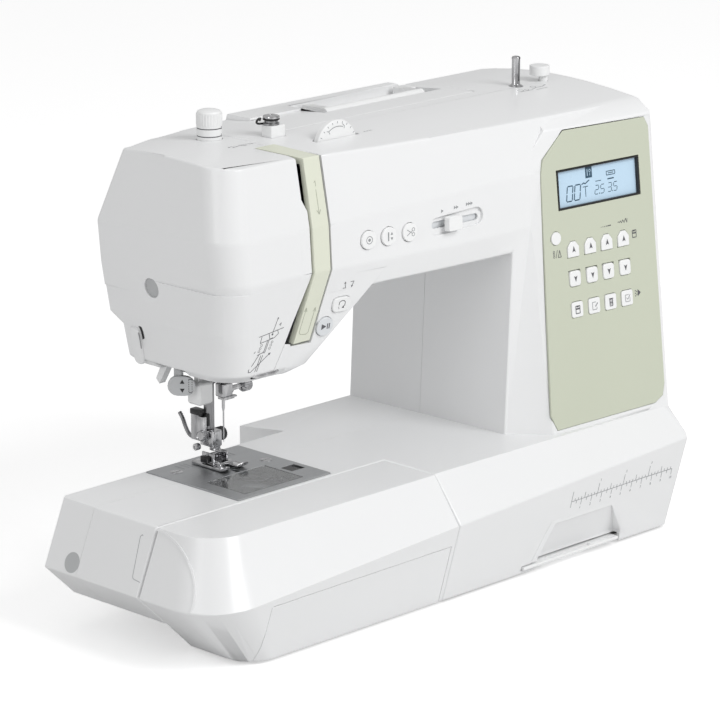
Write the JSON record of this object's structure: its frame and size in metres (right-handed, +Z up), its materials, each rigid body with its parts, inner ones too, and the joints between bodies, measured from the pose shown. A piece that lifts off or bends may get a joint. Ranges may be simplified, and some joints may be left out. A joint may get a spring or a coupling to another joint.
{
  "type": "sewing machine",
  "caption": "Computerised free-arm sewing machine with removable extension table, keypad and display, needle and presser mechanism and handwheel.",
  "frame": {"origin": "centre of the bounding box's footprint, at the bottom of the rubber feet", "axes": "+X to the right along the machine as the user sees it, +Y away from the user, +Z up"},
  "size_m": [0.449, 0.1826, 0.3063],
  "materials": {
    "white_plastic": "satin white",
    "sage_plastic": "satin",
    "grey_plastic": "satin",
    "dark_plastic": "matt",
    "brushed_steel": "brushed",
    "chrome": "polished",
    "cast_aluminium": "as cast",
    "clear_plastic": "clear, shown pale",
    "circuit_board": "lacquered",
    "rubber": "matt"
  },
  "bodies": {
    "housing": {"front_cover": "white_plastic", "rear_cover": "white_plastic", "face_cover": "white_plastic", "bottom_plate": "white_plastic", "frame_casting": "cast_aluminium", "control_panel": "sage_plastic", "display_board": "circuit_board", "thread_guide_cover": "sage_plastic", "motor": "dark_plastic", "needle_plate": "brushed_steel", "winder_guide": "chrome", "winder_stop": "white_plastic", "power_inlet": "dark_plastic", "rubber_feet": "rubber", "bobbin_case": "dark_plastic"},
    "drive": {"handwheel": "white_plastic", "main_shaft": "brushed_steel"},
    "lower_drive": {"lower_shaft": "brushed_steel"},
    "hook_drive": {"hook": "chrome"},
    "motor_rotor": {"motor_pulley": "brushed_steel"},
    "bobbin_spool": {"bobbin": "clear_plastic"},
    "needle_unit": {"needle_bar": "chrome", "needle": "brushed_steel"},
    "take_up": {"take_up_lever": "brushed_steel"},
    "lifter": {"presser_lifter": "white_plastic"},
    "presser": {"presser_bar": "chrome", "foot_holder": "chrome"},
    "foot": {"presser_foot": "chrome"},
    "threader": {"needle_threader": "white_plastic"},
    "buttonhole": {"buttonhole_lever": "grey_plastic"},
    "feed": {"feed_dog": "chrome"},
    "bobbin_lid": {"bobbin_cover": "clear_plastic"},
    "latch": {"cover_latch": "dark_plastic"},
    "tray": {"chart_tray": "white_plastic"},
    "table": {"extension_table": "white_plastic"},
    "table_door": {"accessory_door": "white_plastic"},
    "handle": {"carry_handle": "white_plastic"},
    "pressure": {"pressure_dial": "white_plastic"},
    "tension": {"tension_dial": "white_plastic"},
    "winder": {"winder_spindle": "chrome"},
    "key_up_1": {"key_up_1": "white_plastic"},
    "key_up_2": {"key_up_2": "white_plastic"},
    "key_up_3": {"key_up_3": "white_plastic"},
    "key_up_4": {"key_up_4": "white_plastic"},
    "key_down_1": {"key_down_1": "white_plastic"},
    "key_down_2": {"key_down_2": "white_plastic"},
    "key_down_3": {"key_down_3": "white_plastic"},
    "key_down_4": {"key_down_4": "white_plastic"},
    "key_memory_1": {"key_memory_1": "white_plastic"},
    "key_memory_2": {"key_memory_2": "white_plastic"},
    "key_memory_3": {"key_memory_3": "white_plastic"},
    "key_memory_4": {"key_memory_4": "white_plastic"},
    "mode_key": {"mode_key": "white_plastic"},
    "arm_button_1": {"arm_button_1": "white_plastic"},
    "arm_button_2": {"arm_button_2": "white_plastic"},
    "arm_button_3": {"arm_button_3": "white_plastic"},
    "reverse_button": {"reverse_button": "white_plastic"},
    "start_stop_button": {"start_stop_button": "grey_plastic"},
    "speed": {"speed_slider": "white_plastic"},
    "rocker": {"power_switch": "dark_plastic"}
  },
  "joints": [
    {"name": "handwheel_spin", "type": "hinge", "parent": "housing", "child": "drive", "pos_m": [0.0815, 0.02225, 0.22], "axis": [1, 0, 0], "continuous": true},
    {"name": "lower_shaft_spin", "type": "hinge", "parent": "housing", "child": "lower_drive", "pos_m": [0.0815, 0.02425, 0.036], "axis": [1, 0, 0], "continuous": true},
    {"name": "hook_spin", "type": "hinge", "parent": "housing", "child": "hook_drive", "pos_m": [-0.1005, 0.00325, 0.062], "axis": [0, 0, 1], "continuous": true},
    {"name": "motor_spin", "type": "hinge", "parent": "housing", "child": "motor_rotor", "pos_m": [0.1665, -0.00575, 0.132], "axis": [1, 0, 0], "continuous": true},
    {"name": "bobbin_spin", "type": "hinge", "parent": "housing", "child": "bobbin_spool", "pos_m": [-0.1005, 0.00325, 0.068], "axis": [0, 0, 1], "continuous": true},
    {"name": "needle_travel", "type": "slide", "parent": "housing", "child": "needle_unit", "axis": [0, 0, 1], "range_m": [-0.03, 0.002]},
    {"name": "take_up_swing", "type": "hinge", "parent": "housing", "child": "take_up", "pos_m": [-0.079, 0.01025, 0.234], "axis": [1, 0, 0], "range_deg": [-20, 14]},
    {"name": "lifter_swing", "type": "hinge", "parent": "housing", "child": "lifter", "pos_m": [-0.118, 0.05975, 0.19], "axis": [1, 0, 0], "range_deg": [0, 25]},
    {"name": "presser_lift", "type": "slide", "parent": "housing", "child": "presser", "axis": [0, 0, 1], "range_m": [0, 0.006]},
    {"name": "foot_tilt", "type": "hinge", "parent": "presser", "child": "foot", "pos_m": [-0.1005, 0.03925, 0.0902], "axis": [1, 0, 0], "range_deg": [-1.8, 1.8]},
    {"name": "threader_pull", "type": "slide", "parent": "housing", "child": "threader", "axis": [0, 0, -1], "range_m": [0, 0.025], "stiffness_N_per_m": 20},
    {"name": "buttonhole_pull", "type": "slide", "parent": "housing", "child": "buttonhole", "axis": [0, 0, -1], "range_m": [0, 0.028]},
    {"name": "feed_travel", "type": "slide", "parent": "housing", "child": "feed", "axis": [0, 1, 0], "range_m": [-0.002, 0.002]},
    {"name": "bobbin_cover_lift", "type": "slide", "parent": "housing", "child": "bobbin_lid", "axis": [0, 0, 1], "range_m": [0, 0.04]},
    {"name": "latch_slide", "type": "slide", "parent": "housing", "child": "latch", "axis": [1, 0, 0], "range_m": [0, 0.003], "stiffness_N_per_m": 150},
    {"name": "chart_tray_pull", "type": "slide", "parent": "housing", "child": "tray", "axis": [0, -1, 0], "range_m": [0, 0.08]},
    {"name": "table_slide", "type": "slide", "parent": "housing", "child": "table", "axis": [-1, 0, 0], "range_m": [0, 0.2]},
    {"name": "door_swing", "type": "hinge", "parent": "table", "child": "table_door", "pos_m": [-0.1005, -0.07515, 0.0026], "axis": [1, 0, 0], "range_deg": [0, 60]},
    {"name": "handle_lift", "type": "hinge", "parent": "housing", "child": "handle", "pos_m": [0.0565, 0.07625, 0.2815], "axis": [-1, 0, 0], "range_deg": [0, 90]},
    {"name": "pressure_turn", "type": "hinge", "parent": "housing", "child": "pressure", "pos_m": [-0.0983, 0.04355, 0.292], "axis": [0, 0, 1], "range_deg": [-150, 150]},
    {"name": "tension_turn", "type": "hinge", "parent": "housing", "child": "tension", "pos_m": [-0.037, -0.00225, 0.279], "axis": [0, 1, 0], "range_deg": [-150, 150]},
    {"name": "winder_spin", "type": "hinge", "parent": "housing", "child": "winder", "pos_m": [0.153, 0.02225, 0.292], "axis": [0, 0, 1], "continuous": true},
    {"name": "key_up_1_press", "type": "slide", "parent": "housing", "child": "key_up_1", "axis": [0.0714, 0.9915, -0.1091], "range_m": [0, 0.001], "stiffness_N_per_m": 250},
    {"name": "key_up_2_press", "type": "slide", "parent": "housing", "child": "key_up_2", "axis": [0.0714, 0.9915, -0.1091], "range_m": [0, 0.001], "stiffness_N_per_m": 250},
    {"name": "key_up_3_press", "type": "slide", "parent": "housing", "child": "key_up_3", "axis": [0.0714, 0.9915, -0.1091], "range_m": [0, 0.001], "stiffness_N_per_m": 250},
    {"name": "key_up_4_press", "type": "slide", "parent": "housing", "child": "key_up_4", "axis": [0.0714, 0.9915, -0.1091], "range_m": [0, 0.001], "stiffness_N_per_m": 250},
    {"name": "key_down_1_press", "type": "slide", "parent": "housing", "child": "key_down_1", "axis": [0.0714, 0.9915, -0.1091], "range_m": [0, 0.001], "stiffness_N_per_m": 250},
    {"name": "key_down_2_press", "type": "slide", "parent": "housing", "child": "key_down_2", "axis": [0.0714, 0.9915, -0.1091], "range_m": [0, 0.001], "stiffness_N_per_m": 250},
    {"name": "key_down_3_press", "type": "slide", "parent": "housing", "child": "key_down_3", "axis": [0.0714, 0.9915, -0.1091], "range_m": [0, 0.001], "stiffness_N_per_m": 250},
    {"name": "key_down_4_press", "type": "slide", "parent": "housing", "child": "key_down_4", "axis": [0.0714, 0.9915, -0.1091], "range_m": [0, 0.001], "stiffness_N_per_m": 250},
    {"name": "key_memory_1_press", "type": "slide", "parent": "housing", "child": "key_memory_1", "axis": [0.0714, 0.9915, -0.1091], "range_m": [0, 0.001], "stiffness_N_per_m": 250},
    {"name": "key_memory_2_press", "type": "slide", "parent": "housing", "child": "key_memory_2", "axis": [0.0714, 0.9915, -0.1091], "range_m": [0, 0.001], "stiffness_N_per_m": 250},
    {"name": "key_memory_3_press", "type": "slide", "parent": "housing", "child": "key_memory_3", "axis": [0.0714, 0.9915, -0.1091], "range_m": [0, 0.001], "stiffness_N_per_m": 250},
    {"name": "key_memory_4_press", "type": "slide", "parent": "housing", "child": "key_memory_4", "axis": [0.0714, 0.9915, -0.1091], "range_m": [0, 0.001], "stiffness_N_per_m": 250},
    {"name": "mode_key_press", "type": "slide", "parent": "housing", "child": "mode_key", "axis": [0.0714, 0.9915, -0.1091], "range_m": [0, 0.001], "stiffness_N_per_m": 250},
    {"name": "arm_button_1_press", "type": "slide", "parent": "housing", "child": "arm_button_1", "axis": [0.1058, 0.9942, -0.017], "range_m": [0, 0.0012], "stiffness_N_per_m": 250},
    {"name": "arm_button_2_press", "type": "slide", "parent": "housing", "child": "arm_button_2", "axis": [0.0965, 0.9952, -0.0166], "range_m": [0, 0.0012], "stiffness_N_per_m": 250},
    {"name": "arm_button_3_press", "type": "slide", "parent": "housing", "child": "arm_button_3", "axis": [0.087, 0.9961, -0.0162], "range_m": [0, 0.0012], "stiffness_N_per_m": 250},
    {"name": "reverse_button_press", "type": "slide", "parent": "housing", "child": "reverse_button", "axis": [0.1123, 0.9684, 0.2227], "range_m": [0, 0.0012], "stiffness_N_per_m": 250},
    {"name": "start_stop_button_press", "type": "slide", "parent": "housing", "child": "start_stop_button", "axis": [0.1185, 0.9677, 0.2226], "range_m": [0, 0.0012], "stiffness_N_per_m": 250},
    {"name": "speed_slide", "type": "slide", "parent": "housing", "child": "speed", "axis": [0.9978, -0.0656, 0], "range_m": [-0.01, 0.019]},
    {"name": "power_rock", "type": "hinge", "parent": "housing", "child": "rocker", "pos_m": [0.2, 0.00825, 0.062], "axis": [0, 0, 1], "range_deg": [-8, 8]}
  ],
  "couplings": [
    {"joint": "lower_shaft_spin", "follows": "handwheel_spin", "ratio": 1},
    {"joint": "hook_spin", "follows": "handwheel_spin", "ratio": 2},
    {"joint": "motor_spin", "follows": "handwheel_spin", "ratio": 2},
    {"joint": "lifter_swing", "follows": "presser_lift", "rad_per_m": 72}
  ]
}
